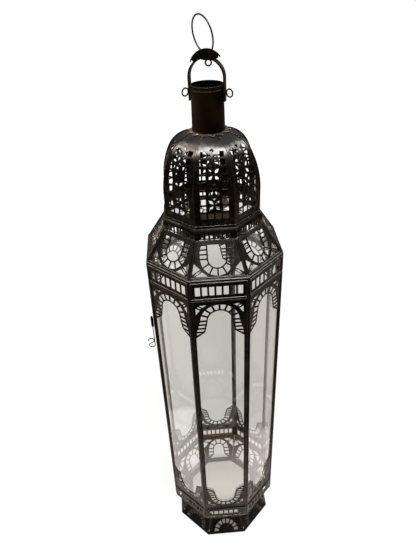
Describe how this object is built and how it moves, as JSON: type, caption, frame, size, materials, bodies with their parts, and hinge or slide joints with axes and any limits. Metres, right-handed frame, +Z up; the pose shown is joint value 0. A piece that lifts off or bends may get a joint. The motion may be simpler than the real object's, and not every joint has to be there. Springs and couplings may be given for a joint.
{
  "type": "floor lantern",
  "caption": "Tall octagonal candle lantern of pierced dark sheet iron and clear glass, with a hinged door, domed top, open neck, swinging bail and hanging ring.",
  "frame": {"origin": "centre of the foot, on the floor", "axes": "+Z up, -Y out of the side that faces the camera, +X to that side's right"},
  "size_m": [0.2371, 0.2258, 1.0709],
  "materials": {
    "iron_sheet": "dark bronze-brown patina on sheet iron, satin",
    "iron_wire": "dark patina on iron wire, satin",
    "clear_glass": "clear flat window glass"
  },
  "bodies": {
    "lantern": {"bail_pin_left": "iron_wire", "bail_pin_right": "iron_wire", "base_panels": "iron_sheet", "collar": "iron_sheet", "corner_post_1": "iron_sheet", "corner_post_2": "iron_sheet", "corner_post_3": "iron_sheet", "corner_post_4": "iron_sheet", "corner_post_5": "iron_sheet", "corner_post_6": "iron_sheet", "corner_post_7": "iron_sheet", "corner_post_8": "iron_sheet", "dome_gore_1": "iron_sheet", "dome_gore_2": "iron_sheet", "dome_gore_3": "iron_sheet", "dome_gore_4": "iron_sheet", "dome_gore_5": "iron_sheet", "dome_gore_6": "iron_sheet", "dome_gore_7": "iron_sheet", "dome_gore_8": "iron_sheet", "dome_ribs": "iron_sheet", "eave_bar": "iron_sheet", "floor_pane": "clear_glass", "foot_hem": "iron_sheet", "foot_skirt": "iron_sheet", "glass_pane_1": "clear_glass", "glass_pane_2": "clear_glass", "glass_pane_3": "clear_glass", "glass_pane_4": "clear_glass", "glass_pane_5": "clear_glass", "glass_pane_6": "clear_glass", "glass_pane_7": "clear_glass", "hinge_knuckles": "iron_sheet", "hinge_rod": "iron_wire", "latch_staples": "iron_sheet", "lower_band": "iron_sheet", "neck_flange": "iron_sheet", "neck_tube": "iron_sheet", "pane_clips": "iron_sheet", "shoulder_panels": "iron_sheet", "shoulder_panes": "clear_glass", "side_frame_1": "iron_sheet", "side_frame_2": "iron_sheet", "side_frame_3": "iron_sheet", "side_frame_4": "iron_sheet", "side_frame_5": "iron_sheet", "side_frame_6": "iron_sheet", "side_frame_7": "iron_sheet", "upper_band": "iron_sheet", "waist_ledge": "iron_sheet"},
    "door": {"door_frame": "iron_sheet", "door_pane": "clear_glass", "door_clips": "iron_sheet"},
    "latch": {"latch_hook": "iron_wire"},
    "bail": {"bail": "iron_sheet"},
    "swivel": {"swivel_eye": "iron_wire", "rosette": "iron_sheet"},
    "ring": {"hanging_ring": "iron_wire"}
  },
  "joints": [
    {"name": "door_swing", "type": "hinge", "parent": "lantern", "child": "door", "pos_m": [-0.0465, -0.11225, 0.4065], "axis": [0, 0, 1], "range_deg": [0, 115]},
    {"name": "latch_turn", "type": "hinge", "parent": "lantern", "child": "latch", "pos_m": [-0.114, -0.04323, 0.6035], "axis": [0, 0, 1], "range_deg": [0, 115]},
    {"name": "bail_swing", "type": "hinge", "parent": "lantern", "child": "bail", "pos_m": [0, 0, 0.97277], "axis": [0.9397, -0.342, 0], "range_deg": [-100, 100]},
    {"name": "swivel_turn", "type": "hinge", "parent": "bail", "child": "swivel", "pos_m": [0, 0, 1.01762], "axis": [0, 0, 1], "continuous": true},
    {"name": "ring_tilt", "type": "hinge", "parent": "swivel", "child": "ring", "pos_m": [0, 0, 1.02237], "axis": [0.4894, -0.8721, 0], "range_deg": [-40, 20]}
  ]
}
